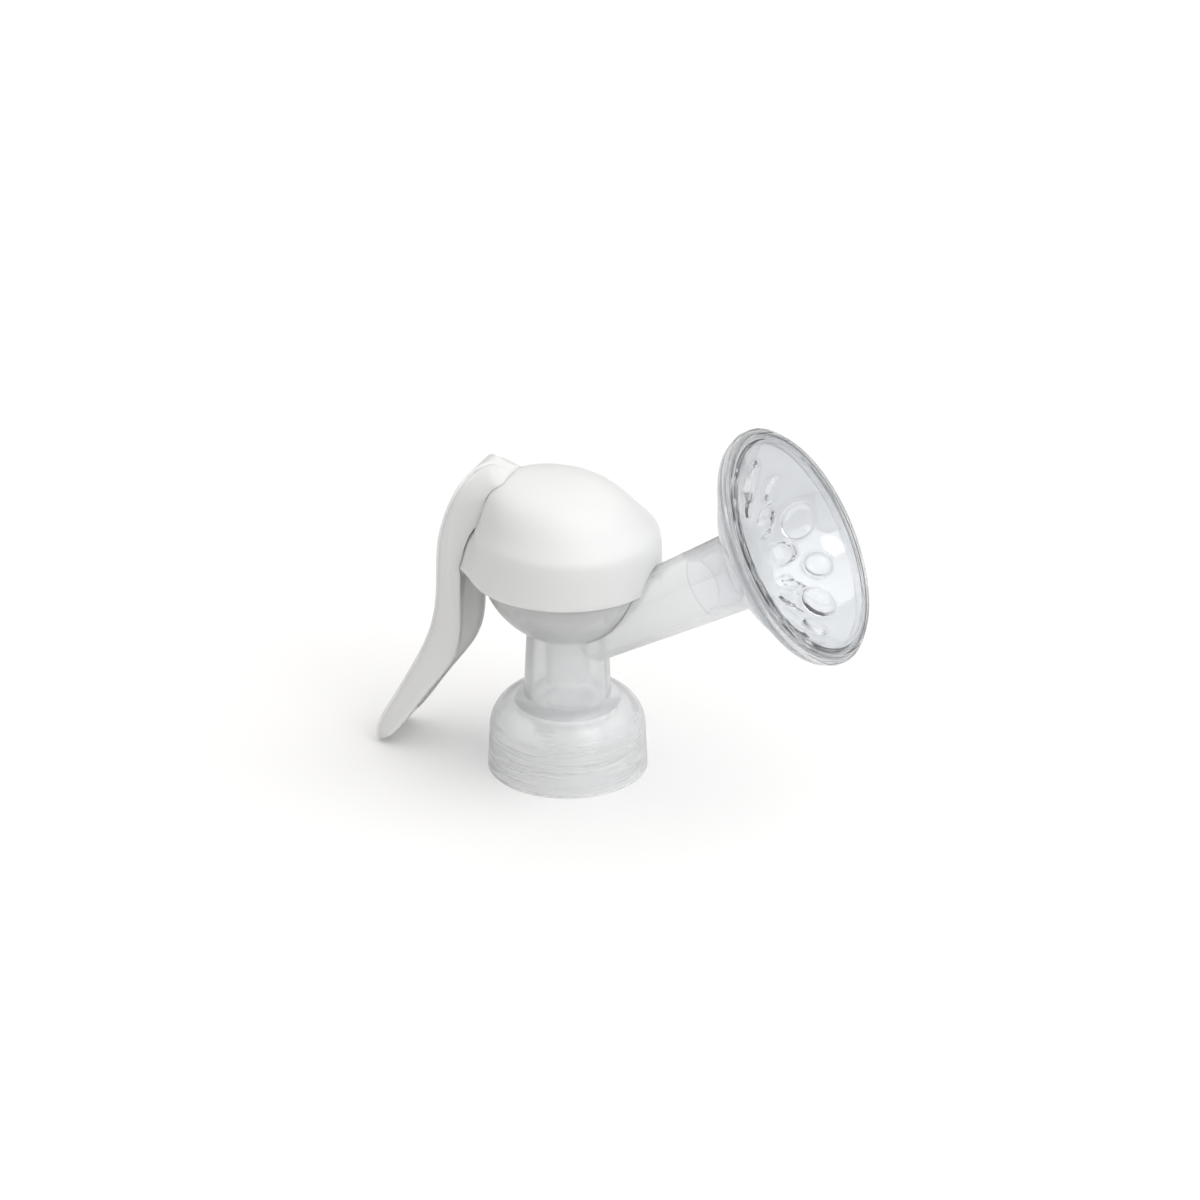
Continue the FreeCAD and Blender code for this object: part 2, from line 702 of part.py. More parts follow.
def make_handle():
    """White lever with a U section: cheeks beside the cover and a fork inside it."""
    body = new_body("handle")
    back, front = from_hinge(BACK), from_hinge(FRONT)
    cheeks = s.handle_width / 2 - s.cheek_step
    cavity = cheeks - s.shell_wall
    head = from_hinge([HEAD_FRONT, HEAD_INSIDE])
    across = s.cover_radius * 4
    padded(body, "cheeks", lambda k: outline(k, [
        back[0] + (back[1:-1],), back[-1] + (-constant(HEAD_CURVE),), head[0], head[1],
        front[0] + (front[1:-1],)]), cheeks * 2)
    padded(body, "head_arch", lambda k: arch(k, cheeks, s.arch_top, cheeks), across, cut=True,
           role="YZ_Plane")
    inner = inset(BACK, s.shell_wall + STRIP_STEP)
    padded(body, "spine", lambda k: outline(k, [
        back[0] + (back[1:-1],), back[-1], inner[-1] + (inner[-2:0:-1],), inner[0]]),
        s.handle_width)
    strip = cheeks + s.cheek_step
    padded(body, "spine_arch", lambda k: arch(k, strip, s.arch_top + s.strip_arch, strip),
           across, cut=True, role="YZ_Plane")
    lining = inset(BACK, s.shell_wall)
    start, end = from_hinge([CAVITY_START, CAVITY_END])
    padded(body, "cavity", lambda k: outline(k, [
        start + (lining[2:-2],), end] + from_hinge(CAVITY_FRONT)), cavity * 2, cut=True)
    padded(body, "head_cavity", lambda k: outline(k, from_hinge(HEAD_CAVITY)),
           s.head_cavity, cut=True)
    padded(body, "bosses", lambda k: circle(k, (hinge_x, hinge_z), s.boss_radius),
           cheeks * 2 - s.bite * 2)
    padded(body, "boss_room", lambda k: circle(k, (hinge_x, hinge_z),
                                             s.boss_radius * BOSS_ROOM), s.boss_gap, cut=True)
    lofted(body, "dome_room", dome_sections(s.swing_gap, s.cover_top + s.swing_gap), cut=True)
    lofted(body, "lug_room", lug_sections(s.swing_gap + s.seat_gap * 3, s.past), cut=True)
    padded(body, "arm", lambda k: outline(k, from_hinge(ARM)), s.arm_width)
    fork_end = s.fork_reach + s.past
    padded(body, "fork_slot", lambda k: outline(k, [
        (-s.fork_root, -s.fork_gap / 2), (fork_end, -s.fork_gap / 2),
        (fork_end, s.fork_gap / 2), (-s.fork_root, s.fork_gap / 2, s.fork_gap * SLOT_ROUND)]),
        s.cover_top * 2, cut=True, role="XY_Plane")
    padded(body, "pin_hole", lambda k: circle(k, (hinge_x, hinge_z), s.pin_radius + s.pin_gap),
           pin_room, cut=True)
    return body


MAKERS = [make_pump_body, make_massage_cushion, make_duckbill_valve, make_diaphragm,
          make_diaphragm_stem, make_stem_retainer, make_cover, make_hinge_pin, make_handle]


def check(body):
    """Stops the build if a feature of the document or the piece's solid is broken."""
    doc.recompute()
    for thing in doc.Objects:
        if "Invalid" in thing.State or "Error" in thing.State:
            raise RuntimeError("%s did not build: %s" % (thing.Label, thing.State))
    shape = body.Shape
    if shape.isNull() or not shape.isValid() or not shape.Solids:
        raise RuntimeError("%s has no valid solid" % body.Label)


os.makedirs("parts", exist_ok=True)
pieces = [make() for make in MAKERS]
for piece in pieces:
    check(piece)
for piece in pieces:
    piece.Shape.exportStep("parts/%s.step" % piece.Label)
    print("%-18s %9.1f mm3 %d solid(s)" % (piece.Label, piece.Shape.Volume,
                                           len(piece.Shape.Solids)))
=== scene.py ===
import math

import bmesh
import bpy
from mathutils import Matrix, Vector


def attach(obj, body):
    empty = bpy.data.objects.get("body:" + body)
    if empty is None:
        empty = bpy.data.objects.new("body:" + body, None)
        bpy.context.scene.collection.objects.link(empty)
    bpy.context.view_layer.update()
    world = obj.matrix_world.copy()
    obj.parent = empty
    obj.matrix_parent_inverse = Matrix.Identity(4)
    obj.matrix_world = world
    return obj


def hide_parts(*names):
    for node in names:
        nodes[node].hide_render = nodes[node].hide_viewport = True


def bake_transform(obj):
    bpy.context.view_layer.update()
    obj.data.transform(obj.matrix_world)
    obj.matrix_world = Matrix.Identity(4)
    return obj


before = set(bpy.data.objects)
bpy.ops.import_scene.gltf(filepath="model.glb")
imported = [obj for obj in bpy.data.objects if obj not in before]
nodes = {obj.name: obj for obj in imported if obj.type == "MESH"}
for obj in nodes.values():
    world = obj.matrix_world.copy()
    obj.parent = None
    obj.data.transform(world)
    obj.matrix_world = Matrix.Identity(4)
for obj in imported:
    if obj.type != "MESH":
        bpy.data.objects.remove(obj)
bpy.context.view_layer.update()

# Hand breast pump, in metres. Sizes below are written in millimetres and multiplied by MM.
# +Z runs up the neck, the funnel leans out towards +X and the lever hangs at -X.


# ---------------------------------------------------------------- pump body
# The clear moulding of skirt, neck, cup, arm and funnel. It is injection-moulded
# polypropylene: slightly milky, satin low down and clearer out towards the funnel.

def new_group(name, outputs, inputs=()):
    """A shader node group with float inputs (name, value) and outputs (name, kind)."""
    group = bpy.data.node_groups.new(name, "ShaderNodeTree")
    for label, value in inputs:
        socket = group.interface.new_socket(label, in_out="INPUT", socket_type="NodeSocketFloat")
        socket.default_value = value
    for label, kind in outputs:
        group.interface.new_socket(label, in_out="OUTPUT", socket_type=kind)
    return group


def moulded_skin():
    """Skin of a moulded part: a faint ripple, a fine grain and gloss that drifts a little."""
    group = new_group("moulded_skin",
                      [("Normal", "NodeSocketVector"), ("Drift", "NodeSocketFloat")],
                      [("Ripple", 0.1), ("Grain", 0.05)])
    tree, link = group.nodes, group.links.new
    enter, leave = tree.new("NodeGroupInput"), tree.new("NodeGroupOutput")
    where = tree.new("ShaderNodeTexCoord")
    bump = None
    for label, scale, depth in (("Ripple", 90, 0.0004), ("Grain", 2600, 0.00003)):
        cloud = tree.new("ShaderNodeTexNoise")
        cloud.inputs["Scale"].default_value = scale
        cloud.inputs["Detail"].default_value = 1.0
        relief = tree.new("ShaderNodeBump")
        relief.inputs["Distance"].default_value = depth
        link(where.outputs["Object"], cloud.inputs["Vector"])
        link(cloud.outputs["Fac"], relief.inputs["Height"])
        link(enter.outputs[label], relief.inputs["Strength"])
        if bump:
            link(bump.outputs["Normal"], relief.inputs["Normal"])
        else:
            link(cloud.outputs["Fac"], leave.inputs["Drift"])
        bump = relief
    link(bump.outputs["Normal"], leave.inputs["Normal"])
    return group


SKIN = moulded_skin()


def ranged(tree, low, high, at_low, at_high):
    """A node that carries values from low..high over to at_low..at_high."""
    node = tree.new("ShaderNodeMapRange")
    for label, value in (("From Min", low), ("From Max", high), ("To Min", at_low),
                         ("To Max", at_high)):
        node.inputs[label].default_value = value
    return node


def colour_mix(tree, first=None, second=None):
    """A node that goes from the first colour to the second."""
    node = tree.new("ShaderNodeMix")
    node.data_type = "RGBA"
    for label, colour in (("A", first), ("B", second)):
        if colour:
            node.inputs[label].default_value = (*colour, 1)
    return node


def material(name, colour, shade, gloss, ripple=0.1, grain=0.05, lets_light=None, **settings):
    """A moulded material: two close colours clouded together and gloss between two values.
    lets_light is the tint of the light that passes through it into what it encloses."""
    made = bpy.data.materials.new(name)
    made.use_nodes = True
    tree, link = made.node_tree.nodes, made.node_tree.links.new
    shader = tree["Principled BSDF"]
    skin = tree.new("ShaderNodeGroup")
    skin.node_tree = SKIN
    skin.inputs["Ripple"].default_value = ripple
    skin.inputs["Grain"].default_value = grain
    where = tree.new("ShaderNodeTexCoord")
    cloud = tree.new("ShaderNodeTexNoise")
    cloud.inputs["Scale"].default_value = 35
    tint = colour_mix(tree, colour, shade)
    rough = ranged(tree, 0.3, 0.7, *gloss)
    link(where.outputs["Object"], cloud.inputs["Vector"])
    link(cloud.outputs["Fac"], tint.inputs["Factor"])
    link(tint.outputs["Result"], shader.inputs["Base Color"])
    link(skin.outputs["Drift"], rough.inputs["Value"])
    link(rough.outputs["Result"], shader.inputs["Roughness"])
    link(skin.outputs["Normal"], shader.inputs["Normal"])
    for key, value in settings.items():
        shader.inputs[key.replace("_", " ")].default_value = value
    if lets_light:
        ray, gap = tree.new("ShaderNodeLightPath"), tree.new("ShaderNodeBsdfTransparent")
        gap.inputs["Color"].default_value = (*lets_light, 1)
        either = tree.new("ShaderNodeMixShader")
        link(ray.outputs["Is Shadow Ray"], either.inputs["Fac"])
        link(shader.outputs["BSDF"], either.inputs[1])
        link(gap.outputs["BSDF"], either.inputs[2])
        link(either.outputs["Shader"], tree["Material Output"].inputs["Surface"])
    return made


def finish(piece, made):
    """Gives the whole piece one material."""
    piece.data.materials.clear()
    piece.data.materials.append(made)


MM = 0.001
RIM = Vector((64.85, 0, 75.6)) * MM
TILT = math.radians(31)
ALONG = Vector((math.cos(TILT), 0, math.sin(TILT)))


def towards_rim(made, start, end, at_start, at_end):
    """A value that changes along the funnel's axis, between two distances back from the rim."""
    tree, link = made.node_tree.nodes, made.node_tree.links.new
    where, along = tree.new("ShaderNodeTexCoord"), tree.new("ShaderNodeVectorMath")
    along.operation = "DOT_PRODUCT"
    along.inputs[1].default_value = ALONG
    rim = RIM.dot(ALONG)
    change = ranged(tree, rim - start * MM, rim - end * MM, at_start, at_end)
    link(where.outputs["Object"], along.inputs[0])
    link(along.outputs["Value"], change.inputs["Value"])
    return change.outputs["Result"]


def tint_bell(made, colour):
    """Draws a clear material's colour towards another one from the throat out to the bell."""
    tree, link = made.node_tree.nodes, made.node_tree.links.new
    tinted = colour_mix(tree, second=colour)
    shade = tree["Principled BSDF"].inputs["Base Color"]
    link(towards_rim(made, 26, 14, 0.0, 1.0), tinted.inputs["Factor"])
    link(shade.links[0].from_socket, tinted.inputs["A"])
    link(tinted.outputs["Result"], shade)


clear_plastic = material("clear_polypropylene", (0.985, 0.987, 0.99), (0.97, 0.975, 0.98),
                         (0.17, 0.26), ripple=0.12, lets_light=(0.92, 0.925, 0.93),
                         Transmission_Weight=0.78, IOR=1.47)
tint_bell(clear_plastic, (0.89, 0.898, 0.91))

# The moulding is polished from the end of the arm outwards.
tree, link = clear_plastic.node_tree.nodes, clear_plastic.node_tree.links.new
shader = tree["Principled BSDF"]
dulled = tree.new("ShaderNodeMath")
dulled.operation = "MULTIPLY"
link(shader.inputs["Roughness"].links[0].from_socket, dulled.inputs[0])
link(towards_rim(clear_plastic, 55, 22, 1.0, 0.2), dulled.inputs[1])
link(dulled.outputs["Value"], shader.inputs["Roughness"])

# Fine streaks run round the skirt, where the thread shows through it.
where = tree.new("ShaderNodeTexCoord")
stretch = tree.new("ShaderNodeMapping")
stretch.inputs["Scale"].default_value = (22, 22, 620)
stretch.inputs["Rotation"].default_value = (0, math.radians(3), 0)
streaks = tree.new("ShaderNodeTexNoise")
streaks.inputs["Scale"].default_value = 1.0
streaks.inputs["Detail"].default_value = 2.0
height = tree.new("ShaderNodeSeparateXYZ")
on_skirt = ranged(tree, 21 * MM, 15 * MM, 0.0, 1.0)
relief = tree.new("ShaderNodeBump")
relief.inputs["Distance"].default_value = 0.9 * MM
link(where.outputs["Object"], stretch.inputs["Vector"])
link(stretch.outputs["Vector"], streaks.inputs["Vector"])
link(where.outputs["Object"], height.inputs["Vector"])
link(height.outputs["Z"], on_skirt.inputs["Value"])
link(on_skirt.outputs["Result"], relief.inputs["Strength"])
link(streaks.outputs["Fac"], relief.inputs["Height"])
link(shader.inputs["Normal"].links[0].from_socket, relief.inputs["Normal"])
link(relief.outputs["Normal"], shader.inputs["Normal"])
finish(nodes["pump_body"], clear_plastic)


# ---------------------------------------------------------------- massage cushion
# Clear silicone liner, pulled over the funnel's rim and pushed into the arm. Soft pads
# stand up from its bell: a ring of large ones near the rim and smaller ones further in.

def arc(start, end, radius, steps):
    """Points from start up to, not including, end. A positive radius bulges to the right."""
    (x0, y0), (x1, y1) = start, end
    dx, dy = x1 - x0, y1 - y0
    half = math.hypot(dx, dy) / 2
    away = math.sqrt(max(radius * radius - half * half, 0.0))
    side = math.copysign(1, radius)
    cx = (x0 + x1) / 2 - side * away * dy / (2 * half)
    cy = (y0 + y1) / 2 + side * away * dx / (2 * half)
    a0 = math.atan2(y0 - cy, x0 - cx)
    turn = (math.atan2(y1 - cy, x1 - cx) - a0 + math.pi) % (2 * math.pi) - math.pi
    return [(cx + abs(radius) * math.cos(a0 + turn * i / steps),
             cy + abs(radius) * math.sin(a0 + turn * i / steps)) for i in range(steps)]


def run(start, end, steps):
    """Points along a straight run from start up to, not including, end."""
    return [(start[0] + (end[0] - start[0]) * i / steps,
             start[1] + (end[1] - start[1]) * i / steps) for i in range(steps)]


def turned(profile, place, axis, steps):
    """The closed outline turned once round an axis."""
    bm = bmesh.new()
    ring = [bm.verts.new(place(*p)) for p in profile]
    edges = [bm.edges.new((ring[i - 1], ring[i])) for i in range(len(ring))]
    bmesh.ops.spin(bm, geom=ring + edges, cent=axis[0], axis=axis[1], angle=math.tau,
                   steps=steps, use_merge=True)
    bmesh.ops.remove_doubles(bm, verts=bm.verts[:], dist=1e-6)
    return bm


def new_piece(name, bm, body, stands_for=None):
    """Turns a bmesh into a smooth-shaded piece that rides on a body of the frame."""
    bmesh.ops.recalc_face_normals(bm, faces=bm.faces[:])
    mesh = bpy.data.meshes.new(name)
    bm.to_mesh(mesh)
    bm.free()
    mesh.shade_smooth()
    piece = bpy.data.objects.new(name, mesh)
    bpy.context.scene.collection.objects.link(piece)
    if body:
        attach(piece, body)
    if stands_for:
        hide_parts(stands_for)
    return piece


ACROSS = Vector((-math.sin(TILT), 0, math.cos(TILT)))
SIDE = Vector((0, 1, 0))


def in_funnel(s, r):
    """A point in the plane of symmetry: s along the funnel's axis from its rim, r off it."""
    return RIM + (ALONG * s + ACROSS * r) * MM


def bell_line(offset):
    """Throat, waist and rim of the funnel's wall line, moved in by the offset."""
    return ((-18.4, 10.6 - offset), (-14.2 + offset * 0.93, 13.5 - offset * 0.36),
            (-2.2 + offset * 0.53, 30.6 - offset * 0.85))


# How far the lining's outside and inside lie in from the funnel's outer wall line.
OUTER, INNER = 1.8, 3.3
throat_out, waist_out, rim_out = bell_line(OUTER)
throat_in, waist_in, rim_in = bell_line(INNER)
lining = (
    run((-29.2, 8.3), throat_out, 10) + arc(throat_out, waist_out, 4.5 + OUTER, 8)
    + arc(waist_out, rim_out, -(40 - OUTER), 20)
    + [rim_out, (0.1, 29.95), (0.1, 31.3), (-1.1, 31.3), (-2.75, 30.75), (-2.9, 31.3)]
    + [(-2.75, 32.1), (-1.1, 32.8)] + arc((0.1, 32.8), (1.6, 31.3), 1.5, 6)
    + arc((1.6, 31.3), (1.45, 28.9), 3.2, 5) + arc((1.45, 28.9), rim_in, 3.0, 3)
    + arc(rim_in, waist_in, 40 - INNER, 100) + arc(waist_in, throat_in, -(4.5 + INNER), 14)
    + run(throat_in, (-29.2, 6.85), 12) + [(-29.2, 6.85), (-29.45, 7.1), (-29.45, 8.05)])
bm = turned(lining, in_funnel, (RIM, ALONG), 450)

# Pads: place along the axis, place round it in degrees, length, width and height.
PADS = [(-6.8, 4, 9.4, 9.2, 1.5), (-6.7, 38, 7.0, 5.2, 1.1), (-6.7, 68, 9.4, 6.4, 1.3),
        (-6.4, -32, 7.2, 6.8, 1.2), (-6.8, -65, 8.0, 9.6, 1.4), (-6.0, -94, 6.0, 5.6, 1.0),
        (-11.8, 28, 4.4, 5.2, 1.0), (-11.9, -15, 5.2, 6.0, 1.1), (-11.4, -54, 3.6, 3.8, 0.8),
        (-10.9, -86, 3.2, 3.4, 0.8), (-10.4, 67, 2.8, 3.0, 0.7), (-6.7, 106, 6.8, 5.2, 1.1),
        (-6.8, 140, 9.2, 9.0, 1.5), (-6.5, 174, 7.0, 6.0, 1.1), (-6.8, 207, 9.2, 9.2, 1.4),
        (-6.6, 239, 6.8, 5.8, 1.1), (-11.5, 103, 4.2, 4.8, 1.0), (-11.8, 150, 5.2, 5.8, 1.1),
        (-11.6, 196, 4.4, 5.0, 1.0), (-11.3, 232, 3.6, 3.8, 0.8)]
BELL_FROM, BELL_TO = -14.6, -0.6      # the part of the axis that the pads stand along
SLOPE = 1.5                           # length on the bell's face for each unit along the axis
GROOVE, GROOVE_REACH = 0.2, 0.5       # shallow ring round each pad
OFF_FACE = 0.66, 0.75                 # pads stand up from the face: along the axis, and in
for vert in bm.verts:
    off = vert.co - RIM
    s = off.dot(ALONG) / MM
    radial = off - ALONG * off.dot(ALONG)
    r = radial.length / MM
    inside_face = r < 27.5 + (s + 2.2) * 1.2
    if not BELL_FROM < s < BELL_TO or not inside_face:
        continue
    angle = math.degrees(math.atan2(radial.dot(ACROSS), radial.dot(SIDE)))
    push = 0.0
    for at, round_at, long, wide, high in PADS:
        turn = math.radians((angle - round_at + 180) % 360 - 180)
        across = turn * r / (wide / 2)
        along = (s - at) * SLOPE / (long / 2)
        reach = across * across + along * along
        if reach < 1:
            push = max(push, high * (1 - reach ** 2.2) ** 0.5)
        elif reach < 1 + GROOVE_REACH and not push:
            push = -GROOVE * math.sin(math.pi * (reach - 1) / GROOVE_REACH)
    vert.co += (ALONG * OFF_FACE[0] - radial.normalized() * OFF_FACE[1]) * push * MM
cushion = new_piece("cushion", bm, "pump", "massage_cushion")
clear_silicone = material("clear_silicone", (0.965, 0.972, 0.98), (0.945, 0.955, 0.968),
                          (0.02, 0.05), ripple=0.06, grain=0.02, lets_light=(0.9, 0.91, 0.92),
                          Transmission_Weight=0.96, IOR=1.43)
tint_bell(clear_silicone, (0.86, 0.872, 0.888))
finish(cushion, clear_silicone)


# ---------------------------------------------------------------- diaphragm
# Thin milky silicone bellows seated on the cup's rim, whose hub is lifted by the stem. It rides
# on no body.

def upright(r, z):
    """A point in the plane of symmetry: r off the neck's axis at the height z."""
    return Vector((r, 0, z)) * MM


NECK = (Vector((0, 0, 0)), Vector((0, 0, 1)))


def folded(points, folds, depth):
    """Draws a run of wall points in towards the axis by small even folds."""
    return [(r - depth * (1 - abs(math.cos(math.pi * folds * i / len(points)))) ** 1.5, z)
            for i, (r, z) in enumerate(points)]


FOLDS, FOLD_DEPTH = 5, 0.7
bellows = (
    [(1.7, 48.0), (7.1, 48.0)] + run((7.1, 48.0), (9.3, 45.0), 3)
    + arc((9.3, 45.0), (12.6, 45.0), 3.2, 6)
    + folded(arc((12.6, 45.0), (21.7, 60.5), 21.8, 60), FOLDS, FOLD_DEPTH)
    + [(21.7, 60.5), (21.7, 63.1), (23.5, 63.1), (23.5, 64.5), (20.6, 64.5)]
    + folded(arc((20.6, 60.5), (11.8, 46.1), -20.7, 60), FOLDS, FOLD_DEPTH)
    + arc((11.8, 46.1), (10.1, 46.1), -2.4, 5)
    + run((10.1, 46.1), (7.1, 50.2), 3) + [(7.1, 50.2), (1.7, 50.2)])
diaphragm = new_piece("bellows", turned(bellows, upright, NECK, 96), None, "diaphragm")
milky_silicone = material("milky_silicone", (0.985, 0.985, 0.98), (0.97, 0.97, 0.965),
                          (0.25, 0.4), lets_light=(0.93, 0.93, 0.93), Transmission_Weight=0.3,
                          IOR=1.41)
finish(diaphragm, milky_silicone)
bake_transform(diaphragm)


# ---------------------------------------------------------------- duckbill valve
# Soft silicone valve pushed onto the spout inside the skirt: a flange, a round sleeve and
# two lips that come together in a flat slit.

VALVE_TOP, SLEEVE_END, BEAK_END = 18.4, 12.5, 4.95
FLANGE, SLEEVE, BORE = 13.4, 9.0, 7.7
BEAK_TAPER, SLIT = 1.6, 1.55


def oval(ring, z, wide, narrow):
    """Lays a ring of vertices out as an oval at the height z."""
    for i, vert in enumerate(ring):
        turn = math.tau * i / len(ring)
        vert.co = Vector((wide * math.cos(turn), narrow * math.sin(turn), z)) * MM


def edges_round(bm, ring):
    """The edges of a closed ring of vertices."""
    return [bm.edges.get((ring[i - 1], ring[i])) for i in range(len(ring))]


def grown(bm, ring):
    """Extrudes a closed ring of vertices and returns the new ring, in the same order."""
    new = bmesh.ops.extrude_edge_only(bm, edges=edges_round(bm, ring))["geom"]
    fresh = {vert for vert in new if isinstance(vert, bmesh.types.BMVert)}
    return [next(edge.other_vert(vert) for edge in vert.link_edges
                 if edge.other_vert(vert) in fresh) for vert in ring]


def beak(bm, ring, inset):
    """Draws the valve's skin from the sleeve down to its slit."""
    for step in range(1, 9):
        ring = grown(bm, ring)
        share = step / 8
        round_radius, slit = SLEEVE - inset, SLIT - inset
        oval(ring, SLEEVE_END + (BEAK_END - SLEEVE_END) * share,
             round_radius - BEAK_TAPER * share,
             round_radius + (slit - round_radius) * share ** 0.8)
    return ring


bm = bmesh.new()
start = bmesh.ops.create_circle(bm, segments=64, radius=BORE * MM)["verts"]
ring = list(start)
oval(ring, VALVE_TOP, BORE, BORE)
for z, radius in ((VALVE_TOP, FLANGE), (VALVE_TOP - 1.4, FLANGE), (VALVE_TOP - 1.5, SLEEVE + 0.1),
                  (SLEEVE_END, SLEEVE)):
    ring = grown(bm, ring)
    oval(ring, z, radius, radius)
outside = beak(bm, ring, 0.0)
ring = grown(bm, start)
oval(ring, SLEEVE_END, BORE, BORE)
inside = beak(bm, ring, SLEEVE - BORE)
bmesh.ops.bridge_loops(bm, edges=edges_round(bm, outside) + edges_round(bm, inside))
valve = new_piece("valve", bm, "pump", "duckbill_valve")
finish(valve, milky_silicone)


# ---------------------------------------------------------------- cover
# White dome over the diaphragm with a hinge lug at its back, moulded in one shell. The slot
# at the back lets the handle's arm in, and the lower edge arches over the funnel's arm.

# Height, drift along X and radius of the shell's outside, from the lower edge to the crown.
COVER = [(57.3, -0.3, 25.8), (59, -0.2, 25.75), (61.5, 0.0, 25.55), (64, 0.15, 25.35),
         (66.5, 0.25, 25.15), (68.3, 0.2, 24.95), (69.5, 0.1, 24.7), (70.4, -0.05, 24.3),
         (71.1, -0.25, 23.8), (71.9, -0.5, 23.2), (72.9, -0.95, 22.45), (74.2, -1.5, 21.55),
         (76, -2.25, 20.45), (78, -3.1, 19.05), (80, -4.1, 17.2), (81.4, -5.0, 15.3),
         (82.5, -5.7, 12.9), (83.2, -6.2, 10.3), (83.65, -6.4, 7.2), (83.85, -6.5, 4.0),
         (83.9, -6.5, 1.2)]
LOWER_EDGE, CROWN = COVER[0][0], COVER[-1][0]

# Height, side radius, and where the lug's two round corners stand: off the middle, and back.
LUG = [(57.3, 25.4, 3.9, 28.0), (66.0, 24.1, 3.4, 25.6), (75.0, 19.5804, 1.9939, 17.9669)]
LUG_TOP, LUG_CORNER = 75.0, 3.2
MELT = 1.2                            # the lug melts into the round shell over this much


def row_at(table, z):
    """The row of a table at a height, between its own rows."""
    for low, high in zip(table, table[1:]):
        if z <= high[0]:
            share = max((z - low[0]) / (high[0] - low[0]), 0.0)
            return [a + (b - a) * share for a, b in zip(low[1:], high[1:])]
    return table[-1][1:]


def reach_at(z, turn):
    """How far the cover's outside stands off its centre, at an angle off the -X direction."""
    drift, radius = row_at(COVER, z)
    if z >= LUG_TOP or abs(turn) > 1.5:
        return radius
    small = LUG_CORNER
    wide, side, back = row_at(LUG, z)
    wide, back, turn = min(wide, radius - 0.3), back + drift, abs(turn)
    corner = math.hypot(back, side)
    lean = math.atan2(side, back) + math.acos(min(1.0, (wide - small) / corner))
    foot = math.atan2(side + small * math.sin(lean), back + small * math.cos(lean))
    if math.tan(turn) * (back + small) < side:
        lug = (back + small) / math.cos(turn)
    elif turn < foot:
        across = back * math.sin(turn) - side * math.cos(turn)
        lug = (back * math.cos(turn) + side * math.sin(turn)
               + math.sqrt(max(small ** 2 - across ** 2, 0)))
    elif turn < lean:
        lug = wide / math.cos(turn - lean)
    else:
        lug = wide
    fade = min((LUG_TOP - z) / 3, 1.0)
    return max(lug, radius) + max(MELT - abs(lug - radius), 0) ** 2 / (4 * MELT) * fade


# The funnel's arm widens from its start by the neck. The cover keeps a gap to it.
ARM_START, ARM_LENGTH = -75.66, 57.26
ARM_RADIUS, ARM_WIDENS, ARM_GAP = 8.1, 2.5, 0.35
ARCH_TOP = 69.0                       # the arch over the arm has faded out at this height


def arm_top(x, y):
    """Height of the funnel arm's upper side, with its gap."""
    out = x - RIM.x / MM
    grown_by = (out / math.cos(TILT) - ARM_START) / ARM_LENGTH
    radius = ARM_RADIUS + ARM_WIDENS * grown_by + ARM_GAP
    if abs(y) >= radius:
        return 0.0
    return (RIM.z / MM + out * math.tan(TILT)
            + math.sqrt(radius ** 2 - y * y) / math.cos(TILT))


def settled(piece, modifier):
    """Makes a modifier's result the piece's own mesh."""
    seen = piece.evaluated_get(bpy.context.evaluated_depsgraph_get())
    mesh = bpy.data.meshes.new_from_object(seen)
    piece.modifiers.remove(modifier)
    piece.data = mesh


def carved(piece, cutter):
    """Takes the cutter's space out of the piece, for good, and drops the cutter."""
    tool = bpy.data.objects.new("cutter", bpy.data.meshes.new("cutter"))
    bmesh.ops.recalc_face_normals(cutter, faces=cutter.faces[:])
    cutter.to_mesh(tool.data)
    cutter.free()
    bpy.context.scene.collection.objects.link(tool)
    cut = piece.modifiers.new("cut", "BOOLEAN")
    cut.operation, cut.solver, cut.object = "DIFFERENCE", "EXACT", tool
    settled(piece, cut)
    bpy.data.objects.remove(tool)


def block(low, high):
    """A box between two corners."""
    bm = bmesh.new()
    bmesh.ops.create_cube(bm, size=1.0)
    for vert in bm.verts:
        vert.co = Vector([(a if c < 0 else b) * MM for a, b, c in zip(low, high, vert.co)])
    return bm


bm = bmesh.new()
ring = list(bmesh.ops.create_circle(bm, segments=176, radius=MM)["verts"])
for z, drift, _ in COVER:
    if z > LOWER_EDGE:
        ring = grown(bm, ring)
    for i, vert in enumerate(ring):
        turn = math.tau * i / len(ring) - math.pi
        far = reach_at(z, turn)
        x, y = drift - far * math.cos(turn), -far * math.sin(turn)
        rise = max(arm_top(x, y) - LOWER_EDGE, 0) if x > 0 else 0
        share = max((ARCH_TOP - z) / (ARCH_TOP - LOWER_EDGE), 0)
        vert.co = Vector((x, y, z + rise * share)) * MM
bmesh.ops.contextual_create(bm, geom=edges_round(bm, ring))

cover = new_piece("cover_shell", bm, "pump", "cover")
wall = cover.modifiers.new("wall", "SOLIDIFY")
wall.thickness, wall.offset = 1.6 * MM, -1
settled(cover, wall)
SLOT_HALF = 3.9
carved(cover, block((-40, -SLOT_HALF, 50), (-18, SLOT_HALF, 80)))


def eased(piece, width):
    """Rounds a piece's sharp edges a little."""
    edge = piece.modifiers.new("edges", "BEVEL")
    edge.width, edge.segments, edge.limit_method = width * MM, 2, "ANGLE"
    edge.angle_limit = math.radians(50)


eased(cover, 0.3)
white_plastic = material("white_polypropylene", (0.77, 0.77, 0.765), (0.755, 0.755, 0.75),
                         (0.3, 0.42), ripple=0.05, IOR=1.47, Subsurface_Weight=0.5,
                         Subsurface_Radius=(1.0, 0.97, 0.92), Subsurface_Scale=0.003)
finish(cover, white_plastic)


# ---------------------------------------------------------------- stem and pin
# The stem and its collar are small white mouldings and the pin is a ground steel rod.

